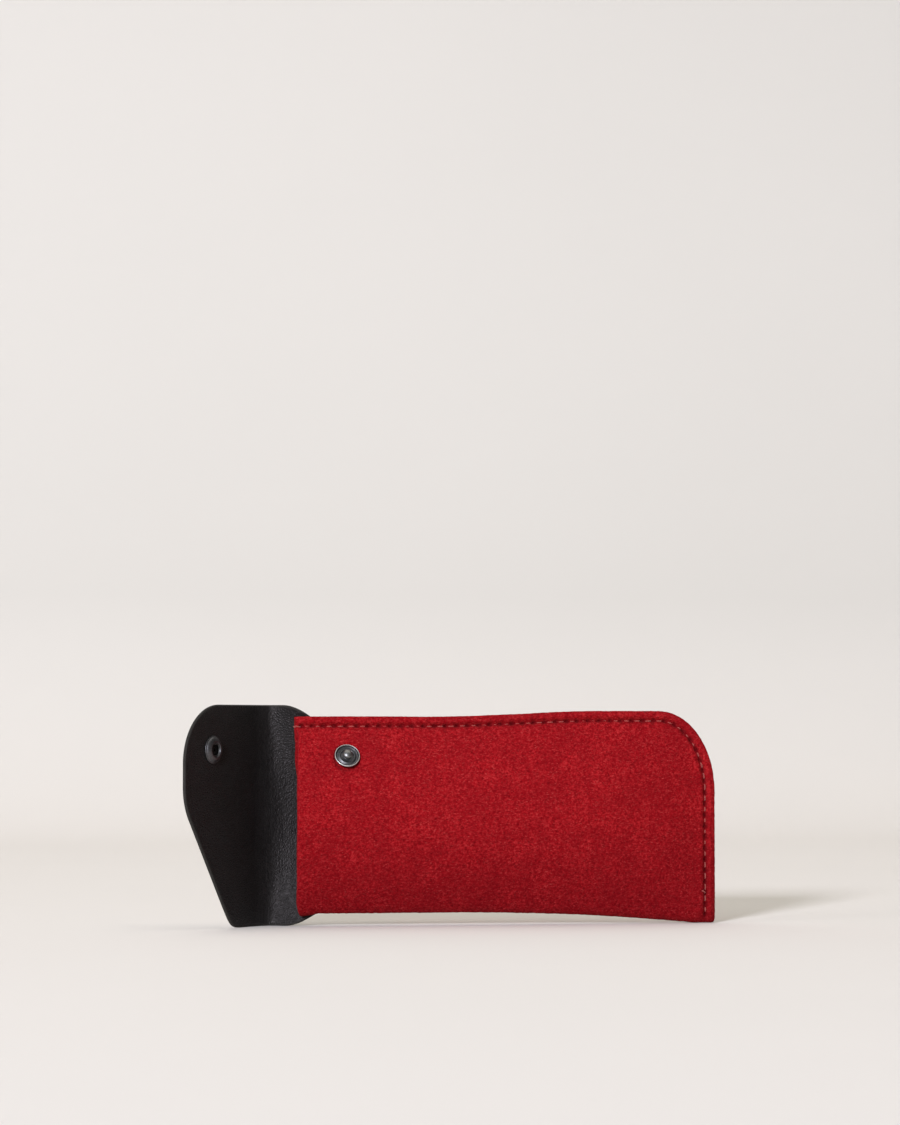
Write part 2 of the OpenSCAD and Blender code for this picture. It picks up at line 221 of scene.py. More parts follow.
def panel_curve(x, side):
    """Middle of the felt at x, from the fold up to the cut edge, as y and z."""
    radius, turn, mid, swell = lens(x, BACK_SWELL if side > 0 else FRONT_SWELL)
    lift = FELT / 2 + CAVITY * np.clip((LENGTH - SEAM_WIDTH - x) / 10, 0, 1)
    top = straight_top(x) - FELT_EDGE - corner_drop(x, FELT_EDGE)
    half = math.sin(turn) * radius
    fold = np.linspace(-math.pi / 2, -turn, 7)[:-1]
    arc = np.linspace(-turn, turn * 0.97, 60)
    flat_from = min(mid + half + 2.6, top - 1.5)
    y = np.concatenate([
        lift * np.cos(fold), swell - radius + (radius + lift) * np.cos(arc), np.full(5, FELT / 2)
    ])
    z = np.concatenate([
        mid - half + lift * np.sin(fold), mid + (radius + lift) * np.sin(arc),
        np.linspace(flat_from, top, 5),
    ])
    return side * y, z


def soften(curve, step, spread=1.3):
    """Eases the bends of an evenly spaced curve, as felt of this thickness takes them."""
    reach = int(3 * spread / step)
    kernel = np.exp(-0.5 * (np.arange(-reach, reach + 1) * step / spread) ** 2)
    kernel /= kernel.sum()
    out = []
    for c in curve:
        before = c[0] + (c[0] - c[1]) * np.arange(reach, 0, -1)
        after = c[-1] + (c[-1] - c[-2]) * np.arange(1, reach + 1)
        out.append(np.convolve(np.concatenate([before, c, after]), kernel, "valid"))
    return out


def row_places(half):
    """Distances from the cut edge to the fold: close together by the seam and the stud, then wider."""
    near = np.arange(0, 24.01, 0.5)
    return np.concatenate([near, np.linspace(24, half, 62)[1:]])


def sleeve_columns():
    """Places along x, closer together round the sewn corner."""
    straight = np.linspace(FELT_EDGE, CORNER_X, 330)
    turn = np.linspace(0, math.pi / 2, 56)[1:]
    return np.concatenate([straight, CORNER_X + (CORNER_RADIUS - FELT_EDGE) * np.sin(turn)])


def sleeve_middle():
    """Grid of the felt's middle: columns along x, rows from one cut edge round the fold to the other."""
    grid = []
    for x in sleeve_columns():
        front, back = panel_curve(x, -1), panel_curve(x, 1)
        y = np.concatenate([front[0][::-1], back[0][1:]])
        z = np.concatenate([front[1][::-1], back[1][1:]])
        far = np.concatenate([[0], np.cumsum(np.hypot(np.diff(y), np.diff(z)))])
        step = 0.25
        even = np.linspace(0, far[-1], int(far[-1] / step))
        y, z = soften([np.interp(even, far, y), np.interp(even, far, z)], step)
        fold = even[np.argmin(z)]
        short = z.min() - (max(skin_bottom(x), 0.12) + FELT / 2)
        z = z - short * np.exp(-(((even - fold) / 5) ** 2))
        a, b = row_places(fold), row_places(even[-1] - fold)
        places = np.concatenate([a, even[-1] - b[::-1][1:]])
        y, z = np.interp(places, even, y), np.interp(places, even, z)
        grid.append(np.stack([np.full(len(places), x), y, z], 1))
    return np.array(grid)[:, ::-1]


def settle(grid):
    """Hand of the maker: the mouth's lower corner set back, and slow waves in the panels."""
    x, z = grid[..., 0].copy(), grid[..., 2].copy()
    side = np.sign(grid[..., 1])
    near = np.exp(-x / 20)
    corner = np.exp(-((z - FELT / 2) / 5.2) ** 2)
    front = 1.0 - 1.42 * smooth((80 - z) / 26) + 0.8 * smooth((36 - z) / 26) + 2.2 * corner
    front *= smooth((83.5 - z) / 4)
    back = 0.1 + 0.75 * smooth((82 - z) / 8) + 1.9 * smooth((70 - z) / 14) + 0.5 * corner
    blend = smooth(grid[..., 1] / 6 + 0.5)
    grid[..., 0] += near * (front * (1 - blend) + back * blend)
    flat = grid.reshape(-1, 3)
    free = smooth((straight_top(x) - corner_drop(x, 0) - z - 7) / 14) * smooth((LENGTH - x) / 25)
    free *= smooth((z - 6) / 16)
    wave = 0.5 * value_noise(flat * [1, 0.2, 1], 31, 5) + 0.22 * value_noise(flat * [1, 0.2, 1], 13, 9)
    grid[..., 1] += side * np.maximum(wave.reshape(x.shape), -0.6) * free * np.where(side > 0, 0.5, 1)
    edge = smooth((z - 70) / 14)
    along = np.stack([x.ravel(), 0 * x.ravel(), 0 * x.ravel()], 1)
    grid[..., 2] += 0.22 * edge * value_noise(along, 19, 3).reshape(x.shape)
    return grid


# ---------------------------------------------------------------- seam line

SEAM_RADIUS = CORNER_RADIUS - SEAM_WIDTH
SEAM_TALL = CORNER_TALL - SEAM_WIDTH
CENTRE_Z = SLEEVE_HEIGHT + TOP_EASE - CORNER_TALL
SEAM_TURN = np.linspace(0, math.pi / 2, 400)
SEAM_BEND = np.concatenate([[0], np.cumsum(np.hypot(
    np.diff(SEAM_RADIUS * np.sin(SEAM_TURN)), np.diff(SEAM_TALL * np.cos(SEAM_TURN))
))])
SEAM_TOP_RUN = CORNER_X - SEAM_START
SEAM_TURN_RUN = SEAM_BEND[-1]
SEAM_RUN = SEAM_TOP_RUN + SEAM_TURN_RUN + CENTRE_Z - SEAM_END
SEAM_STEP = SEAM_RUN / math.floor(SEAM_RUN / PITCH)


def seam_point(d):
    """x and z of the stitch line, d along it from the mouth."""
    if d < SEAM_TOP_RUN:
        return SEAM_START + d, float(straight_top(SEAM_START + d)) - SEAM_WIDTH
    if d < SEAM_TOP_RUN + SEAM_TURN_RUN:
        turn = np.interp(d - SEAM_TOP_RUN, SEAM_BEND, SEAM_TURN)
        return CORNER_X + SEAM_RADIUS * math.sin(turn), CENTRE_Z + SEAM_TALL * math.cos(turn)
    return LENGTH - SEAM_WIDTH, CENTRE_Z - (d - SEAM_TOP_RUN - SEAM_TURN_RUN)


def seam_place(x, z):
    """For points of a panel: distance from the stitch line, and how far along it they are."""
    turning = (x > CORNER_X) & (z > CENTRE_Z)
    down = (x > CORNER_X) & ~turning
    u, v = np.maximum(x - CORNER_X, 1e-6) / SEAM_RADIUS, (z - CENTRE_Z) / SEAM_TALL
    bent = np.interp(np.arctan2(u, np.maximum(v, 1e-6)), SEAM_TURN, SEAM_BEND)
    along = np.where(turning, SEAM_TOP_RUN + bent, x - SEAM_START)
    along = np.where(down, SEAM_TOP_RUN + SEAM_TURN_RUN + CENTRE_Z - z, along)
    away = z - (straight_top(x) - SEAM_WIDTH)
    size = np.hypot(u, v)
    bend_away = (size - 1) * size / np.hypot(u / SEAM_RADIUS, v / SEAM_TALL)
    away = np.where(turning, bend_away, away)
    return np.where(down, x - (LENGTH - SEAM_WIDTH), away), along


def seam_groove(x, z):
    """How deep the seam pulls the felt in, with a dimple at each needle hole."""
    away, along = seam_place(x, z)
    sewn = smooth((along + 3.0) / 3.0) * smooth((SEAM_RUN + 1.4 - along) / 1.4)
    hole = ((along / SEAM_STEP + 0.5) % 1 - 0.5) * SEAM_STEP
    holes = np.exp(-((hole / 1.0) ** 2) - ((away - 0.1) / 0.7) ** 2) * (along > -0.8)
    groove = np.exp(-((away / 0.9) ** 2)) * GROOVE_DEPTH
    puff = PUFF_HEIGHT * np.exp(-(((away - 2.0) / 1.1) ** 2)) + 0.22 * np.exp(-(((away + 2.5) / 1.4) ** 2))
    pull = 0.14 * np.cos(2 * math.pi * hole / SEAM_STEP) * np.exp(-(((away + 1.6) / 1.5) ** 2))
    return sewn * (groove + HOLE_DEPTH * holes - puff + pull)


# ---------------------------------------------------------------- mesh making


def make_object(name, points, faces):
    """A smooth-shaded mesh object, linked to the scene."""
    mesh = bpy.data.meshes.new(name)
    mesh.from_pydata([tuple(p) for p in points], [], faces)
    mesh.validate()
    mesh.update()
    mesh.polygons.foreach_set("use_smooth", [True] * len(mesh.polygons))
    made = bpy.data.objects.new(name, mesh)
    bpy.context.scene.collection.objects.link(made)
    return made


def grid_normals(grid):
    """Unit normal at each point of a grid."""
    across = np.gradient(grid, axis=0)
    up = np.gradient(grid, axis=1)
    n = np.cross(across, up)
    return n / np.maximum(np.linalg.norm(n, axis=2, keepdims=True), 1e-9)


def border(nu, nv):
    """Grid places round the border, as column and row numbers, each once."""
    return (
        [(i, 0) for i in range(nu - 1)] + [(nu - 1, j) for j in range(nv - 1)]
        + [(i, nv - 1) for i in range(nu - 1, 0, -1)] + [(0, j) for j in range(nv - 1, 0, -1)]
    )


def thick_sheet(
    name, grid, outer_lift, inner_lift, bulge, rim_steps=7, rough=0.0, flat_ends=(), square=()
):
    """A closed sheet round a middle surface, with rounded cut edges.

    outer_lift and inner_lift are distances from the middle to each face, per grid point. bulge is how far
    the cut edge stands out from the grid. A column number in flat_ends keeps that end's cut flat; one in
    square fills out that end's corners."""
    nu, nv = grid.shape[:2]
    n = grid_normals(grid)
    outer = grid + n * outer_lift[..., None]
    inner = grid - n * inner_lift[..., None]
    count = nu * nv
    loop = border(nu, nv)
    faces = []
    for i in range(nu - 1):
        a = i * nv + np.arange(nv - 1)
        quads = np.stack([a, a + nv, a + nv + 1, a + 1], 1)
        faces += quads.tolist() + (quads[:, ::-1] + count).tolist()
    ids = np.array([i * nv + j for i, j in loop])
    at = np.array(loop)
    middle, normal = grid[at[:, 0], at[:, 1]], n[at[:, 0], at[:, 1]]
    ahead = np.roll(middle, -1, 0) - np.roll(middle, 1, 0)
    out = np.cross(ahead, normal)
    out /= np.maximum(np.linalg.norm(out, axis=1, keepdims=True), 1e-9)
    for k, (i, j) in enumerate(loop):
        if i in flat_ends:
            out[k] = 0
        elif i in square and j in (0, nv - 1):
            out[k] *= 1.3
    up_lift = outer_lift[at[:, 0], at[:, 1]][:, None]
    low_lift = inner_lift[at[:, 0], at[:, 1]][:, None]
    rings, start = [ids], 2 * count
    points = [outer.reshape(-1, 3), inner.reshape(-1, 3)]
    for step in range(1, rim_steps):
        a = math.pi / 2 - math.pi * step / rim_steps
        lift = np.where(a > 0, up_lift, low_lift) * math.copysign(abs(math.sin(a)) ** 0.8, a)
        ring = middle + normal * lift + out * bulge * math.cos(a) ** 0.55
        if rough:
            ring = ring + out * rough * value_noise(ring, 0.9, 17 + step)[:, None]
        points.append(ring)
        rings.append(np.arange(start, start + len(loop)))
        start += len(loop)
    rings.append(ids + count)
    rim_from = len(faces)
    for first, second in zip(rings[:-1], rings[1:]):
        faces += np.stack([first, second, np.roll(second, -1), np.roll(first, -1)], 1).tolist()
    made = make_object(name, row(np.concatenate(points)), faces)
    return made, rim_from


# ---------------------------------------------------------------- materials


def material(name):
    """A bare node material and a helper that adds nodes to it."""
    made = bpy.data.materials.new(name)
    made.use_nodes = True
    tree = made.node_tree
    tree.nodes.clear()
    output = tree.nodes.new("ShaderNodeOutputMaterial")
    shader = tree.nodes.new("ShaderNodeBsdfPrincipled")
    tree.links.new(shader.outputs[0], output.inputs[0])

    def add(kind, inputs=None, **settings):
        node = tree.nodes.new(kind)
        for key, value in settings.items():
            setattr(node, key, value)
        for key, value in (inputs or {}).items():
            if isinstance(value, bpy.types.NodeSocket):
                tree.links.new(value, node.inputs[key])
            else:
                node.inputs[key].default_value = value
        return node

    def put(key, value):
        if isinstance(value, bpy.types.NodeSocket):
            tree.links.new(value, shader.inputs[key])
        else:
            shader.inputs[key].default_value = value

    return made, add, put


def stretched_noise(add, where, turn, scale, detail=2.0, rough=0.6):
    """Noise drawn out along one direction, for fibres and wrinkles."""
    turned = add("ShaderNodeMapping", {"Vector": where, "Rotation": turn, "Scale": scale})
    return add("ShaderNodeTexNoise", {
        "Vector": turned.outputs[0], "Scale": 1.0, "Detail": detail, "Roughness": rough
    }).outputs[0]


def ramp(add, fac, *stops):
    """Colours between stops, picked by fac."""
    node = add("ShaderNodeValToRGB", {"Fac": fac})
    while len(node.color_ramp.elements) < len(stops):
        node.color_ramp.elements.new(0.5)
    for element, (place, colour) in zip(node.color_ramp.elements, stops):
        element.position = place
        element.color = (*colour, 1) if len(colour) == 3 else colour
    return node.outputs[0]


def mixed(add, fac, a, b, kind="MIX"):
    """One colour mixed with another."""
    node = add("ShaderNodeMix", data_type="RGBA", blend_type=kind)
    tree = node.id_data
    for index, value in ((0, fac), (6, a), (7, b)):
        if isinstance(value, bpy.types.NodeSocket):
            tree.links.new(value, node.inputs[index])
        elif index == 0:
            node.inputs[0].default_value = value
        else:
            node.inputs[index].default_value = (*value, 1)
    return node.outputs[2]


def maths(add, kind, a, b=0.0):
    """One step of arithmetic."""
    return add("ShaderNodeMath", {0: a, 1: b}, operation=kind).outputs[0]


def felt_material():
    """Pressed red wool: clumps, cross-laid fibres, dull clouds, painted shade where the seam pulls it in, and
    painted shade darkening it towards the ground.
    """
    made, add, put = material("wool_felt")
    where = add("ShaderNodeTexCoord").outputs["Object"]
    warp = add("ShaderNodeTexNoise", {"Vector": where, "Scale": 420.0, "Detail": 2.0}).outputs[1]
    bent = add("ShaderNodeVectorMath", {0: where, 1: warp}, operation="ADD")
    bent = add("ShaderNodeMix", {0: 0.0016, 4: where, 5: bent.outputs[0]}, data_type="VECTOR").outputs[1]
    clump = add("ShaderNodeTexNoise", {
        "Vector": where, "Scale": 900.0, "Detail": 6.0, "Roughness": 0.78
    }).outputs[0]
    cloud = add("ShaderNodeTexNoise", {
        "Vector": where, "Scale": 85.0, "Detail": 5.0, "Roughness": 0.65
    }).outputs[0]
    strands = []
    for turn, seed in ((0.3, 0.0), (1.25, 7.0), (2.2, 13.0), (2.9, 23.0)):
        strands.append(stretched_noise(
            add, bent, (0.2 + seed, turn, 0.1), (760 + seed, 1200, 3300), 2.5, 0.6
        ))
    fibre = maths(add, "MAXIMUM", maths(add, "MAXIMUM", strands[0], strands[1]),
                  maths(add, "MAXIMUM", strands[2], strands[3]))
    dark_fibre = maths(add, "MINIMUM", maths(add, "MINIMUM", strands[0], strands[2]),
                       maths(add, "MINIMUM", strands[1], strands[3]))
    base = ramp(add, clump, (0.33, (0.110, 0.0010, 0.0030)), (0.50, (0.265, 0.0040, 0.0076)),
                (0.66, (0.45, 0.0220, 0.0270)))
    dull = ramp(add, cloud, (0.40, (0.55,) * 3), (0.62, (0.0,) * 3))
    base = mixed(add, dull, base, (0.190, 0.0026, 0.0060))
    lit = ramp(add, fibre, (0.62, (0, 0, 0)), (0.76, (0.75, 0.75, 0.75)))
    base = mixed(add, lit, base, (0.52, 0.062, 0.060))
    shade = ramp(add, dark_fibre, (0.25, (0.9, 0.9, 0.9)), (0.37, (0, 0, 0)))
    base = mixed(add, shade, base, (0.070, 0.0010, 0.0030))
    # Painted shade: the felt is darkened towards the ground, most near the fold
    height = add("ShaderNodeSeparateXYZ", {"Vector": where}).outputs[2]
    raised = maths(add, "MULTIPLY", height, 20.0)
    low_painted_shade = ramp(add, raised, (0.1, (0.72, 0.71, 0.72)), (0.95, (0.97, 0.99, 0.93)))
    base = mixed(add, 1.0, base, low_painted_shade, "MULTIPLY")
    # Painted shade in the seam groove and needle holes, read from a per-point attribute
    seam_painted_shade = add("ShaderNodeAttribute", attribute_name="seam_painted_shade").outputs["Fac"]
    put("Base Color", mixed(add, seam_painted_shade, base, (0.035, 0.0010, 0.0025)))
    put("Roughness", 0.97)
    put("Specular IOR Level", 0.02)
    put("Sheen Weight", 0.08)
    put("Sheen Roughness", 0.4)
    put("Sheen Tint", (1.0, 0.16, 0.13, 1))
    height = maths(add, "ADD", maths(add, "MULTIPLY", clump, 0.7), maths(add, "MULTIPLY", fibre, 0.9))
    bump = add("ShaderNodeBump", {"Height": height, "Strength": 0.9, "Distance": 0.0005})
    put("Normal", bump.outputs[0])
    return made


def leather_material():
    """Fine-grained black leather with drawn creases."""
    made, add, put = material("black_leather")
    where = add("ShaderNodeTexCoord").outputs["Object"]
    cells = add("ShaderNodeTexVoronoi", {"Vector": where, "Scale": 1000.0, "Randomness": 1.0},
                feature="DISTANCE_TO_EDGE").outputs[0]
    pebble = add("ShaderNodeTexNoise", {
        "Vector": where, "Scale": 740.0, "Detail": 4.0, "Roughness": 0.62
    }).outputs[0]
    crease = stretched_noise(add, where, (0, 0, 0), (1000, 1000, 260), 4.0, 0.65)
    worn = add("ShaderNodeTexNoise", {"Vector": where, "Scale": 90.0, "Detail": 3.0}).outputs[0]
    base = ramp(add, pebble, (0.3, (0.0052, 0.0048, 0.0047)), (0.7, (0.0120, 0.0112, 0.0108)))
    put("Base Color", mixed(add, ramp(add, worn, (0.45, (0, 0, 0)), (0.75, (0.6, 0.6, 0.6))), base,
                            (0.0125, 0.0115, 0.0112)))
    put("Roughness", ramp(add, pebble, (0.3, (0.36,) * 3), (0.7, (0.52,) * 3)))
    put("Specular IOR Level", 0.21)
    put("Specular Tint", (1.0, 0.90, 0.88, 1))
    grain = maths(add, "ADD", maths(add, "MULTIPLY", cells, 1.3), maths(add, "MULTIPLY", pebble, 1.0))
    bump = add("ShaderNodeBump", {"Height": grain, "Strength": 0.8, "Distance": 0.00034})
    bump = add("ShaderNodeBump", {
        "Height": crease, "Strength": 0.45, "Distance": 0.0004, "Normal": bump.outputs[0]
    })
    put("Normal", bump.outputs[0])
    return made


def leather_edge_material():
    """The cut edge of the leather, fibrous and matt."""
    made, add, put = material("leather_cut_edge")
    where = add("ShaderNodeTexCoord").outputs["Object"]
    fibre = add("ShaderNodeTexNoise", {
        "Vector": where, "Scale": 1600.0, "Detail": 5.0, "Roughness": 0.7
    }).outputs[0]
    put("Base Color", ramp(add, fibre, (0.3, (0.008, 0.007, 0.006)), (0.75, (0.030, 0.026, 0.022))))
    put("Roughness", 0.8)
    put("Specular IOR Level", 0.25)
    bump = add("ShaderNodeBump", {"Height": fibre, "Strength": 0.6, "Distance": 0.0002})
    put("Normal", bump.outputs[0])
    return made


def metal_material(name, dark, bright, rough):
    """Plated metal with a mottled tone and fine scratches."""
    made, add, put = material(name)
    where = add("ShaderNodeTexCoord").outputs["Object"]
    plate = add("ShaderNodeTexNoise", {
        "Vector": where, "Scale": 1800.0, "Detail": 4.0, "Roughness": 0.6
    }).outputs[0]
    scratch = stretched_noise(add, where, (0.4, 0.9, 0.2), (600, 9000, 6000), 2.0, 0.5)
    base = ramp(add, plate, (0.35, dark), (0.75, bright))
    put("Base Color", base)
    put("Metallic", 1.0)
    put("Roughness", ramp(add, scratch, (0.35, (rough,) * 3), (0.75, (rough + 0.16,) * 3)))
    bump = add("ShaderNodeBump", {"Height": scratch, "Strength": 0.12, "Distance": 0.00005})
    put("Normal", bump.outputs[0])
    return made


def thread_material():
    """Waxed thread, dark red with paler fluff."""
    made, add, put = material("waxed_thread")
    where = add("ShaderNodeTexCoord").outputs["Object"]
    fluff = add("ShaderNodeTexNoise", {
        "Vector": where, "Scale": 3500.0, "Detail": 4.0, "Roughness": 0.7
    }).outputs[0]
    put("Base Color", ramp(add, fluff, (0.3, (0.15, 0.012, 0.012)), (0.75, (0.50, 0.110, 0.082))))
    put("Roughness", 0.55)
    put("Specular IOR Level", 0.25)
    put("Sheen Weight", 0.15)
    bump = add("ShaderNodeBump", {"Height": fluff, "Strength": 0.5, "Distance": 0.00008})
    put("Normal", bump.outputs[0])
    return made


def floor_material():
    """Pale matt floor, a little darker up the sweep."""
    made, add, put = material("pale_floor")
    where = add("ShaderNodeTexCoord").outputs["Object"]
    soft = add("ShaderNodeTexNoise", {"Vector": where, "Scale": 3.0, "Detail": 3.0}).outputs[0]
    pale = ramp(add, soft, (0.3, (0.75, 0.712, 0.677)), (0.7, (0.76, 0.721, 0.686)))
    height = add("ShaderNodeSeparateXYZ", {"Vector": where}).outputs[2]
    fade = ramp(add, height, (0.01, (1.0, 1.0, 1.0)), (0.2, (0.83, 0.835, 0.825)),
                (0.95, (0.835, 0.84, 0.82)))
    put("Base Color", mixed(add, 1.0, pale, fade, "MULTIPLY"))
    put("Roughness", 0.9)
    put("Specular IOR Level", 0.05)
    return made


FELT_LOOK = felt_material()
LEATHER_LOOK = leather_material()
EDGE_LOOK = leather_edge_material()
GUNMETAL = metal_material("gunmetal", (0.078, 0.076, 0.080), (0.140, 0.137, 0.141), 0.40)
# Partly wear and partly painted highlight: a much lighter copy of the gunmetal, for the stud's rim and the
# cap's rim
WORN_AND_HIGHLIGHT_METAL = metal_material("gunmetal_worn_and_painted_highlight", (0.42, 0.41, 0.40), (0.66, 0.645, 0.63), 0.40)
# Painted highlight: a lighter copy of the gunmetal for the stud's round head
BALL_HIGHLIGHT_METAL = metal_material("gunmetal_painted_highlight", (0.14, 0.136, 0.134), (0.23, 0.225, 0.22), 0.38)
# Painted shade: a near-black copy of the gunmetal for the socket's hole and the post's shaft
RECESS_SHADE_METAL = metal_material("gunmetal_painted_shade", (0.016, 0.015, 0.015), (0.032, 0.031, 0.031), 0.5)
WIRE = metal_material("spring_steel", (0.10, 0.098, 0.095), (0.20, 0.195, 0.19), 0.45)
THREAD_LOOK = thread_material()


# ---------------------------------------------------------------- sleeve


def stud_place(grid):
    """Distance of each point from the stud's axis."""
    foot, axis = stud_foot(), stud_axis()
    away = grid - foot
    return np.linalg.norm(away - (away @ axis)[..., None] * axis, axis=-1)


def build_sleeve():
    """The felt, with its seam groove, needle holes and the seats of the stud and eyelet."""
    grid = settle(sleeve_middle())
    x, z = grid[..., 0], grid[..., 2]
    flat = grid.reshape(-1, 3)
    lumps = 0.07 * value_noise(flat, 1.7, 21) + 0.05 * value_noise(flat, 0.9, 22)
    from_stud = np.where(grid[..., 1] < 0, stud_place(grid), 99)
    outer = FELT / 2 - seam_groove(x, z) + lumps.reshape(x.shape)
    outer -= STUD_RECESS * smooth((STUD_RING + 0.7 - from_stud) / 1.1)
    outer += 0.16 * np.exp(-(((from_stud - STUD_RING - 1.6) / 1.0) ** 2))
    inner = np.full(x.shape, FELT / 2) - 0.02 + 0.04 * value_noise(flat, 1.3, 23).reshape(x.shape)
    inner -= EYELET_RECESS * smooth((4.9 - from_stud) / 0.9)
    made, _ = thick_sheet("felt_sleeve_cloth", grid, outer, inner, FELT_EDGE, rim_steps=8, rough=0.12,
                          square=(0,))
    made.data.materials.append(FELT_LOOK)
    # Painted shade where the seam groove and needle holes pull the felt in, kept per point for the felt's
    # colour
    seam_painted_shade = np.zeros(len(made.data.vertices))
    seam_painted_shade[:x.size] = np.clip((seam_groove(x, z) - 0.55) / 1.8, 0, 0.62).ravel()
    made.data.attributes.new("seam_painted_shade", "FLOAT", "POINT").data.foreach_set("value", seam_painted_shade)
    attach(made, "case")
    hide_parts("felt_sleeve")
    return made


# ---------------------------------------------------------------- snap


def stud_axis():
    """Direction that the stud faces."""
    return np.array([0, -math.cos(STUD_TILT), math.sin(STUD_TILT)])


def stud_foot():
    """Where the stud's axis leaves the felt."""
    radius, turn, mid, swell = lens(STUD_X, FRONT_SWELL)
    reach = radius + CAVITY + FELT
    return np.array([STUD_X, -(swell - radius + math.sqrt(reach**2 - (STUD_Z - mid) ** 2)), STUD_Z])


def facing(place, out):
    """Matrix that sets a part down at place, its own z pointing along out."""
    z = Vector(out).normalized()
    x = Vector((0, 0, 1)).cross(z).normalized()
    y = z.cross(x)
    turned = Matrix((x, y, z)).transposed().to_4x4()
    turned.translation = Vector(place)
    return turned


def rounded(corners, radius, steps=3):
    """Eases each corner of a closed profile with a short curve."""
    out = []
    count = len(corners)
    for k in range(count):
        before, here, after = (np.array(corners[(k + d) % count], float) for d in (-1, 0, 1))
        back, ahead = before - here, after - here
        reach = min(radius, 0.45 * np.linalg.norm(back), 0.45 * np.linalg.norm(ahead))
        a = here + back / np.linalg.norm(back) * reach
        b = here + ahead / np.linalg.norm(ahead) * reach
        for t in np.linspace(0, 1, steps + 1):
            out.append((1 - t) ** 2 * a + 2 * t * (1 - t) * here + t * t * b)
    return out


def lathe(name, corners, matrix, radius, looks, which=None, segments=80):
    """A turned part from a closed profile of radius and height; which picks the look of each ring of it."""
    profile = rounded(corners, radius)
    count = len(profile)
    points, faces, rings = [], [], []
    for k in range(segments):
        a = 2 * math.pi * k / segments
        for r, h in profile:
            points.append(matrix @ Vector((r * math.cos(a), r * math.sin(a), h)))
        for j in range(count):
            m = (k + 1) % segments
            n = (j + 1) % count
            faces.append([k * count + j, m * count + j, m * count + n, k * count + n])
            middle = (profile[j] + profile[n]) / 2
            rings.append(int(which(*middle)) if which else 0)
    made = make_object(name, row([tuple(p) for p in points]), faces)
    for look in looks:
        made.data.materials.append(look)
    if len(looks) > 1:
        made.data.polygons.foreach_set("material_index", rings)
    return made


def finish_metal(made, body, node):
    """Body and CAD node of a snap part."""
    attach(made, body)
    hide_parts(node)


def build_stud():
    """Dished base with a rolled rim, and a round head on a neck, clamped by an eyelet inside the felt."""
    here = facing(stud_foot(), stud_axis())
    head = [(2.0 * math.cos(a), 1.92 + 1.08 * math.sin(a)) for a in np.linspace(-1.1, 1.45, 16)]
    # The rim takes the part-worn, part painted-highlight metal, and the head takes the lighter
    # painted-highlight copy
    stud = lathe("snap_stud_turned", [
        (1.3, -0.3), (4.9, -0.3), (5.25, 0.1), (5.25, 0.66), (5.1, 0.86), (4.84, 0.84), (4.66, 0.35),
        (4.4, 0.02), (3.85, 0.0), (3.5, 0.26), (3.2, 0.44), (2.9, 0.4), (2.65, 0.05), (1.35, 0.0),
        (1.15, 0.7), *head, (0.02, 3.0), (0.02, 2.4), (1.3, 2.4),
    ], here, 0.1, [GUNMETAL, WORN_AND_HIGHLIGHT_METAL, BALL_HIGHLIGHT_METAL],
        lambda r, h: 2 if r < 2.1 and h > 0.9 else int(r > 4.9 and h > 0.6))
    finish_metal(stud, "case", "snap_stud")
    eyelet = lathe("stud_eyelet_turned", [
        (0.8, -3.15), (3.75, -3.15), (4.0, -2.9), (3.8, -2.68), (1.25, -2.66), (1.25, 2.2), (0.8, 2.2),
    ], here, 0.1, [GUNMETAL])
    finish_metal(eyelet, "case", "stud_eyelet")
    return stud, eyelet


def tongue_point(s, z, lift):
    """Place on the open tongue: s along the leather, z up, lift off its middle towards the inner face."""
    x, y = curl_plan(np.array([float(s)]))
    inner = np.array([math.sin(CURL_ANGLE), -math.cos(CURL_ANGLE)])
    return np.array([x[0] + lift * inner[0], y[0] + lift * inner[1], z])


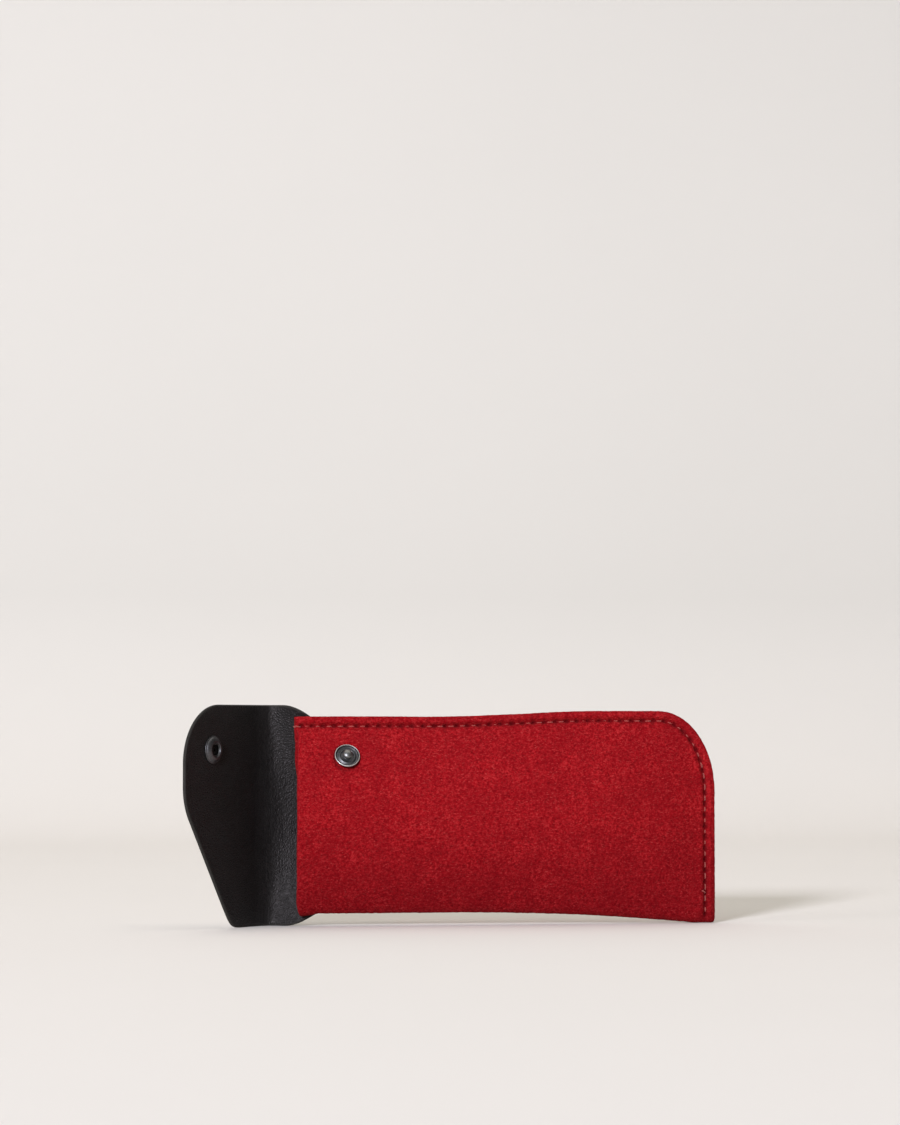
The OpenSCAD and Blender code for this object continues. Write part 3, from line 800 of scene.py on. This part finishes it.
def build_socket():
    """Domed drum with a rolled foot round a hole, the spring inside it, and the cap and post that hold it."""
    inner = (math.sin(CURL_ANGLE), -math.cos(CURL_ANGLE), 0)
    here = facing(tongue_point(SOCKET_PATH, SOCKET_Z, LEATHER / 2), inner)
    dome = [(5.25, 0.66), (5.0, 1.0), (4.6, 1.36), (4.15, 1.62), (3.7, 1.8), (3.3, 1.88)]
    # Inside the hole the drum takes the near-black painted-shade metal
    socket = lathe("snap_socket_turned", [
        (1.3, 0.02), (5.4, 0.02), (5.72, 0.25), (5.68, 0.5), (5.45, 0.6), *dome, (2.95, 1.8), (2.8, 1.5),
        (2.8, 1.42), (3.3, 1.38), (3.9, 1.1), (4.0, 0.36), (1.3, 0.36),
    ], here, 0.14, [GUNMETAL, RECESS_SHADE_METAL], lambda r, h: int(r < 4.05 and h < 1.6))
    finish_metal(socket, "tongue", "snap_socket")

    turn = math.asin(SPRING_HALF_CHORD / SPRING_RADIUS)
    angles = np.concatenate([
        np.linspace(math.pi - turn + 0.52, math.pi - turn, 6), np.linspace(turn, -turn, 26),
        np.linspace(math.pi + turn, math.pi + turn - 0.52, 6),
    ])
    path = np.array([
        here @ Vector((SPRING_RADIUS * math.cos(a), SPRING_RADIUS * math.sin(a), 0.9)) for a in angles
    ])
    wire = tube("socket_spring_wire", [(path, np.tile(np.array(inner), (len(path), 1)), 0.27)], 10)
    wire.data.materials.append(WIRE)
    finish_metal(wire, "tongue", "socket_spring")

    back = facing(tongue_point(SOCKET_PATH, SOCKET_Z, -LEATHER / 2), (-inner[0], -inner[1], 0))
    crown = (CAP_RADIUS**2 + 4) / 4
    outside = [(crown * math.sin(a), 2.02 - crown + crown * math.cos(a)) for a in np.linspace(0.56, 0.004, 9)]
    inside = [(r * 0.94, h - 0.38) for r, h in outside[::-1]][:-2]
    # The cap's rim takes the part-worn, part painted-highlight metal
    cap = lathe("cap_shell_pressed", [
        (4.8, 0.02), (5.9, 0.02), (6.2, 0.28), *outside, *inside, (4.8, 0.3),
    ], back, 0.1, [GUNMETAL, WORN_AND_HIGHLIGHT_METAL], lambda r, h: r > 5.95 and h > 0.1)
    finish_metal(cap, "tongue", "cap_shell")
    # Below the cap the post takes the near-black painted-shade metal
    post = lathe("cap_post_turned", [
        (0.8, 0.02), (0.8, -2.6), (1.8, -2.55), (1.8, -2.42), (1.25, -2.38), (1.25, 0.02), (4.6, 0.02),
        (4.6, 0.35), (0.8, 0.35),
    ], back, 0.08, [GUNMETAL, RECESS_SHADE_METAL], lambda r, h: int(h < 0))
    finish_metal(post, "tongue", "cap_post")


# ---------------------------------------------------------------- thread


def tube(name, runs, sides):
    """Round strands in one mesh; each run is a path, its outward directions and its radius."""
    points, faces = [], []
    for path, outs, radius in runs:
        ahead = np.gradient(path, axis=0)
        ahead /= np.maximum(np.linalg.norm(ahead, axis=1, keepdims=True), 1e-9)
        side = np.cross(ahead, outs)
        side /= np.maximum(np.linalg.norm(side, axis=1, keepdims=True), 1e-9)
        up = np.cross(side, ahead)
        first, count = len(points), len(path)
        for i in range(count):
            for k in range(sides):
                a = 2 * math.pi * k / sides
                points.append(path[i] + radius * (math.cos(a) * up[i] + math.sin(a) * side[i]))
        for i in range(count - 1):
            for k in range(sides):
                a, b = first + i * sides + k, first + i * sides + (k + 1) % sides
                faces.append([a, a + sides, b + sides, b])
        faces.append([first + k for k in range(sides)])
        faces.append([first + (count - 1) * sides + k for k in range(sides - 1, -1, -1)])
    return make_object(name, row(points), faces)


def twisted(path, outs):
    """Two plies laid round each other along a path."""
    run = np.concatenate([[0], np.cumsum(np.linalg.norm(np.diff(path, axis=0), axis=1))])
    ahead = np.gradient(path, axis=0)
    ahead /= np.maximum(np.linalg.norm(ahead, axis=1, keepdims=True), 1e-9)
    side = np.cross(ahead, outs)
    side /= np.maximum(np.linalg.norm(side, axis=1, keepdims=True), 1e-9)
    up = np.cross(side, ahead)
    runs = []
    for ply in (0, math.pi):
        a = (run * 2 * math.pi / (PITCH / PLY_TURNS) + ply)[:, None]
        runs.append((path + PLY_OFFSET * (np.cos(a) * up + np.sin(a) * side), outs, PLY_RADIUS))
    return runs


def stitches(total, place, rise, dive, shown, slack, samples=24):
    """Points and outward directions of a row of stitches; place gives both at a distance along the row.

    rise is the height of a stitch over the face, dive how far under it the thread turns back, and shown how
    much of each stitch lies on top. slack is how unevenly the stitches sit."""
    count = math.floor(total / PITCH)
    path, outs = [], []
    for k in range(count * samples + 1):
        u = (k % samples) / samples
        d = total * k / (count * samples)
        loose = math.sin(37.0 * (k // samples) + 1.0)
        under = smooth((abs(2 * u - 1) - shown + 0.1 + 0.08 * loose) / 0.35)
        lift = rise - (rise + dive) * float(under) - slack * (1 + loose)
        at, out = place(d)
        path.append(at + lift * out)
        outs.append(out)
    return np.array(path), np.array(outs)


def seam_path(side):
    """One thread of the seam, with the stitch that wraps the mouth edge before it."""
    def place(d):
        x, z = seam_point(d)
        return np.array([x, side * FELT, z]), np.array([0.0, side, 0.0])
    path, outs = stitches(SEAM_RUN, place, -THREAD_SINK, THREAD_DIVE, 0.33, 0.14)
    z = float(straight_top(SEAM_START)) - SEAM_WIDTH
    over = np.array([
        [1.8, side * 0.3, z - 0.4], [0.5, side * 0.3, z - 0.3], [0.02, side * 1.0, z - 0.2],
        [0.0, side * 2.0, z - 0.05], [0.35, side * 2.85, z + 0.1], [1.2, side * 2.9, z - 0.1],
        [2.0, side * 2.3, z - 0.2],
    ])
    t = np.linspace(0, len(over) - 1, 40)
    over = np.stack([np.interp(t, range(len(over)), over[:, c]) for c in range(3)], 1)
    turn = np.clip((t - 1) / 3, 0, 1)[:, None] * math.pi / 2
    over_out = np.cos(turn) * [-1, 0.01, 0] + np.sin(turn) * [0, side, 0]
    return np.concatenate([over, path]), np.concatenate([over_out, outs])


def thread_tail(side):
    """The sewing's cut end, left a little proud by the last stitches."""
    x, z = seam_point(SEAM_RUN - 9.2)
    t = np.linspace(0, 1, 22)[:, None]
    path = np.array([x, side * 2.2, z]) + t * [-1.7, 0, 0.9] + np.sin(t * 2.6) * [0, side * 1.25, 0.25]
    return path, np.tile([0.35, side * 0.9, 0.2], (22, 1))


def finish_thread(made, node):
    """Look, body and CAD node of a thread."""
    made.data.materials.append(THREAD_LOOK)
    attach(made, "case")
    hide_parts(node)


def build_seam_threads():
    """Both threads of the seam, the front one with its cut tail."""
    for side, end in ((-1, "front"), (1, "back")):
        runs = twisted(*seam_path(side))
        if side < 0:
            runs += twisted(*thread_tail(side))
        finish_thread(tube("seam_sewing_" + end, runs, 6), "seam_thread_" + end)


def patch_half(x):
    """Half the height of the leather patch at x, measured along the panel."""
    radius, turn, mid, swell = lens(x, BACK_SWELL)
    run = max(x - (PATCH_LENGTH - PATCH_CORNER), 0)
    full = (radius + CAVITY + FELT) * turn * PATCH_TURN
    return full - PATCH_CORNER + math.sqrt(PATCH_CORNER**2 - run * run)


BOX_RADIUS = PATCH_CORNER - PATCH_INSET
BOX_FAR = PATCH_LENGTH - PATCH_INSET
BOX_SIDE = BOX_FAR - BOX_RADIUS - PATCH_INSET


def box_point(d, top, run):
    """x and height off the middle of the patch's stitch line, d along it from its upper near end."""
    if d < BOX_SIDE:
        return PATCH_INSET + d, top
    if d < BOX_SIDE + BOX_RADIUS * math.pi / 2:
        a = math.pi / 2 - (d - BOX_SIDE) / BOX_RADIUS
        return BOX_FAR - BOX_RADIUS + BOX_RADIUS * math.cos(a), top - BOX_RADIUS + BOX_RADIUS * math.sin(a)
    if d <= run / 2:
        return BOX_FAR, run / 2 - d
    x, q = box_point(run - d, top, run)
    return x, -q


def build_patch_threads():
    """The box of stitches that holds the leather, outside and inside."""
    top = patch_half(0) - PATCH_INSET
    run = 2 * BOX_SIDE + BOX_RADIUS * math.pi + 2 * (top - BOX_RADIUS)

    def place(d, level, side):
        x, q = box_point(d, top, run)
        radius, turn, mid, swell = lens(x, BACK_SWELL)
        a = q / (radius + CAVITY + FELT)
        out = np.array([0, math.cos(a), math.sin(a)])
        at = np.array([x, swell - radius, mid]) + (radius + level) * out
        return at, side * out

    outer = CAVITY + FELT + LEATHER_GAP + LEATHER
    path = stitches(run - 0.01, lambda d: place(d, outer, 1), 0.02, 1.5, 0.82, 0.01)
    finish_thread(tube("patch_sewing_outer", twisted(*path), 6), "patch_thread_outer")
    path = stitches(run - 0.01, lambda d: place(d, CAVITY, -1), -0.05, 1.5, 0.82, 0.01)
    finish_thread(tube("patch_sewing_inner", twisted(*path), 6), "patch_thread_inner")


# ---------------------------------------------------------------- flap


def curl_plan(s):
    """Plan place and heading of the leather's middle, s along it from the mouth hinge."""
    turn = np.clip(s / CURL_RADIUS, 0, CURL_ANGLE)
    past = np.maximum(s - CURL_RADIUS * CURL_ANGLE, 0)
    before = np.minimum(s, 0)
    x = HINGE[0] - CURL_RADIUS * np.sin(turn) - past * math.cos(CURL_ANGLE) - before
    y = HINGE[1] - CURL_RADIUS * (1 - np.cos(turn)) - past * math.sin(CURL_ANGLE)
    return x, y


def panel_back(x, z):
    """y of the back panel's outer face."""
    out = np.zeros_like(x)
    for k, at in enumerate(x):
        radius, turn, mid, swell = lens(at, BACK_SWELL)
        reach = radius + CAVITY + FELT
        out[k] = swell - radius + math.sqrt(max(reach * reach - (z[k] - mid) ** 2, 1.0))
    return out


def round_end(run, radius):
    """Drop of a rounded corner at run past its start."""
    run = np.clip(run, 0, radius)
    return radius - np.sqrt(radius * radius - run * run)


def patch_round(s):
    """Drop of the patch's rounded far corners."""
    return round_end(PATCH_CORNER - PATCH_LENGTH + HINGE[0] - s, PATCH_CORNER - LEATHER_EDGE)


def flap_top(s):
    """Height of the leather's upper edge, s along it."""
    shoulder = FLAP_HEIGHT - LEATHER_EDGE - (FLAP_HEIGHT - PATCH_HIGH) * smooth((3 - s) / 25)
    return shoulder - round_end(s - TIP_PATH + TIP_CORNER, TIP_CORNER - LEATHER_EDGE) - patch_round(s)


def flap_bottom(s):
    """Height of the leather's lower edge: shoulder, foot, slanted cut and rounded tip."""
    shoulder = PATCH_LOW * smooth((2 - s) / 22) + LEATHER_EDGE
    nose, r = TIP_PATH - NOSE_RADIUS, NOSE_RADIUS - LEATHER_EDGE
    turn = nose + r * math.cos(SNIP)
    line = NOSE_HEIGHT - r * math.sin(SNIP) + (s - turn) / math.tan(SNIP)
    snip = LEATHER_EDGE + FOOT_ROUND * np.logaddexp(0, (line - LEATHER_EDGE) / FOOT_ROUND)
    arc = NOSE_HEIGHT - np.sqrt(r * r - np.clip(s - nose, 0, r) ** 2)
    low = np.where(s > turn, arc, snip)
    return np.where(s > FOLD_PATH - 6, low, shoulder) + patch_round(s)


def flap_places(s0, s1, step=0.42):
    """Distances along the flap, closer together where an end is rounded."""
    near_tip, near_far = TIP_PATH - TIP_CORNER, PATCH_CORNER - PATCH_LENGTH + HINGE[0]
    turn = np.linspace(0, math.pi / 2, 40)
    if s0 < near_far:
        start = near_far - (PATCH_CORNER - LEATHER_EDGE) * np.sin(turn[::-1])
        return np.concatenate([start, np.arange(near_far + step, s1 - step / 2, step), [s1]])
    end = near_tip + (TIP_CORNER - LEATHER_EDGE) * np.sin(turn)
    return np.concatenate([np.arange(s0, near_tip - step / 2, step), end])


def flap_grid(s0, s1, rows=110):
    """Grid of the leather's middle from s0 to s1, upright rows from the bottom edge to the top."""
    s = flap_places(s0, s1)
    columns = len(s)
    t = np.linspace(0, 1, rows)
    low, high = flap_bottom(s), flap_top(s)
    grid = np.zeros((columns, rows, 3))
    grid[..., 2] = low[:, None] + (high - low)[:, None] * t
    x, y = curl_plan(s)
    grid[..., 0] = x[:, None]
    for i in range(columns):
        ruled = np.full(rows, y[i])
        hug = 1 - smooth((s[i] + 5) / 15)
        if hug > 0:
            at = np.full(rows, max(x[i], 0.0))
            skin = panel_back(at, grid[i, :, 2]) + LEATHER_GAP + LEATHER / 2
            ruled = ruled + hug * (skin - HINGE[1])
        grid[i, :, 1] = ruled
    wrinkle = (0.2 + np.exp(-(((s - 8) / 8) ** 2)))[:, None]
    flat = grid.reshape(-1, 3)
    drawn = value_noise(flat * [1, 1, 0.16], 1.9, 41) + 0.6 * value_noise(flat * [1, 1, 0.2], 1.1, 42)
    edge = np.minimum(grid[..., 2] - low[:, None], high[:, None] - grid[..., 2])
    tip = np.broadcast_to(TIP_PATH - LEATHER_EDGE - s[:, None], edge.shape)
    pared = 0.75 * (1 - smooth(np.minimum(edge, tip) / 2.2))
    return grid, 0.05 * drawn.reshape(columns, rows) * wrinkle, pared


def finish_leather(made, rim_from, nodes):
    """Looks and CAD nodes of a stretch of leather."""
    made.data.materials.append(LEATHER_LOOK)
    made.data.materials.append(EDGE_LOOK)
    for face in made.data.polygons[rim_from:]:
        face.material_index = 1
    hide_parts(*nodes)


def sharp_end(made, s_end):
    """Marks the flat join between the two stretches as a sharp edge, so that both shade as one skin."""
    x, y = curl_plan(np.array([s_end]))
    at = Vector(row([x[0], y[0], 0]))
    heading = Vector((-math.cos(s_end / CURL_RADIUS), -math.sin(s_end / CURL_RADIUS), 0))
    mesh = made.data
    near = [abs((v.co - at).dot(heading)) < 2e-5 for v in mesh.vertices]
    marks = mesh.attributes.get("sharp_edge") or mesh.attributes.new("sharp_edge", "BOOLEAN", "EDGE")
    for edge in mesh.edges:
        if near[edge.vertices[0]] and near[edge.vertices[1]]:
            marks.data[edge.index].value = True


def build_flap():
    """The leather in two stretches that meet flat partway round the curl by the mouth."""
    far = -(PATCH_LENGTH - HINGE[0]) + LEATHER_EDGE
    half = LEATHER / 2
    grid, wrinkle, pared = flap_grid(far, JOIN_PATH)
    patch, rim = thick_sheet(
        "leather_flap_base", grid, half - pared, half + wrinkle, LEATHER_EDGE, flat_ends=(grid.shape[0] - 1,)
    )
    sharp_end(patch, JOIN_PATH)
    finish_leather(patch, rim, ["flap_patch"])
    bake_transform(patch)

    grid, wrinkle, pared = flap_grid(JOIN_PATH, TIP_PATH - LEATHER_EDGE)
    tongue, rim = thick_sheet(
        "leather_flap_tongue", grid, half - pared, half + wrinkle, LEATHER_EDGE, flat_ends=(0,)
    )
    sharp_end(tongue, JOIN_PATH)
    finish_leather(tongue, rim, ["flap_spine", "flap_tongue"])
    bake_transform(tongue)
    return patch, tongue


# ---------------------------------------------------------------- stage, light and camera


def build_stage():
    """A pale floor that sweeps up behind, so that no horizon shows."""
    reach, bend, back = 3.0, 0.9, 1.1
    profile = [(-reach, 0.0), (back, 0.0)]
    for k in range(1, 17):
        a = math.pi / 2 * k / 16
        profile.append((back + bend * math.sin(a), bend * (1 - math.cos(a))))
    profile.append((back + bend, 3.2))
    points, faces = [], []
    for y, z in profile:
        points += [(-reach, y, z), (reach, y, z)]
    for k in range(len(profile) - 1):
        faces.append([2 * k, 2 * k + 1, 2 * k + 3, 2 * k + 2])
    floor = make_object("stage_floor", points, faces)
    floor.data.materials.append(floor_material())
    return floor


def area_light(name, place, aim, size, power, colour):
    """A rectangular lamp aimed at a point."""
    data = bpy.data.lights.new(name, "AREA")
    data.shape = "RECTANGLE"
    data.size, data.size_y = size
    data.energy = power
    data.color = colour
    made = bpy.data.objects.new(name, data)
    bpy.context.scene.collection.objects.link(made)
    made.location = place
    made.rotation_mode = "QUATERNION"
    made.rotation_quaternion = (Vector(aim) - Vector(place)).to_track_quat("-Z", "Y")


def build_lights():
    """A soft key from the front left, a small lamp low at the left, and a wide one above."""
    world = bpy.data.worlds.new("studio")
    bpy.context.scene.world = world
    world.use_nodes = True
    world.node_tree.nodes["Background"].inputs[0].default_value = (1.0, 0.975, 0.90, 1)
    world.node_tree.nodes["Background"].inputs[1].default_value = 0.09
    aim = (0.0, 0.0, 0.04)
    area_light("key", (-2.93, -5.59, 1.98), aim, (0.92, 0.92), 590.0, (0.865, 0.89, 1.0))
    area_light("side", (-1.75, -0.70, 0.88), aim, (0.55, 0.55), 4.5, (1.0, 0.98, 0.95))
    area_light("top", (0.1, 0.3, 3.2), (0.0, 0.3, 0.0), (3.4, 3.4), 64.0, (1.0, 0.98, 0.90))


def build_camera():
    """The shop view: long lens, a little above the case, the mouth end slightly nearer."""
    yaw, tilt = math.radians(-9.7), math.radians(2.67)
    distance, height, aside = 1500.0, 81.0, 65.3
    spot = row([aside + math.sin(yaw) * distance, -math.cos(yaw) * distance, height])
    forward = Vector((-math.sin(yaw) * math.cos(tilt), math.cos(yaw) * math.cos(tilt), math.sin(tilt)))
    data = bpy.data.cameras.new("camera")
    data.sensor_width = 36.0
    data.lens = 115.0
    camera = bpy.data.objects.new("camera", data)
    bpy.context.scene.collection.objects.link(camera)
    camera.location = spot
    camera.rotation_mode = "QUATERNION"
    camera.rotation_quaternion = forward.to_track_quat("-Z", "Y")
    bpy.context.scene.camera = camera


build_camera()
build_stage()
build_lights()
build_sleeve()
build_seam_threads()
build_flap()
build_patch_threads()
build_stud()
build_socket()
bpy.context.scene.view_settings.view_transform = "Standard"
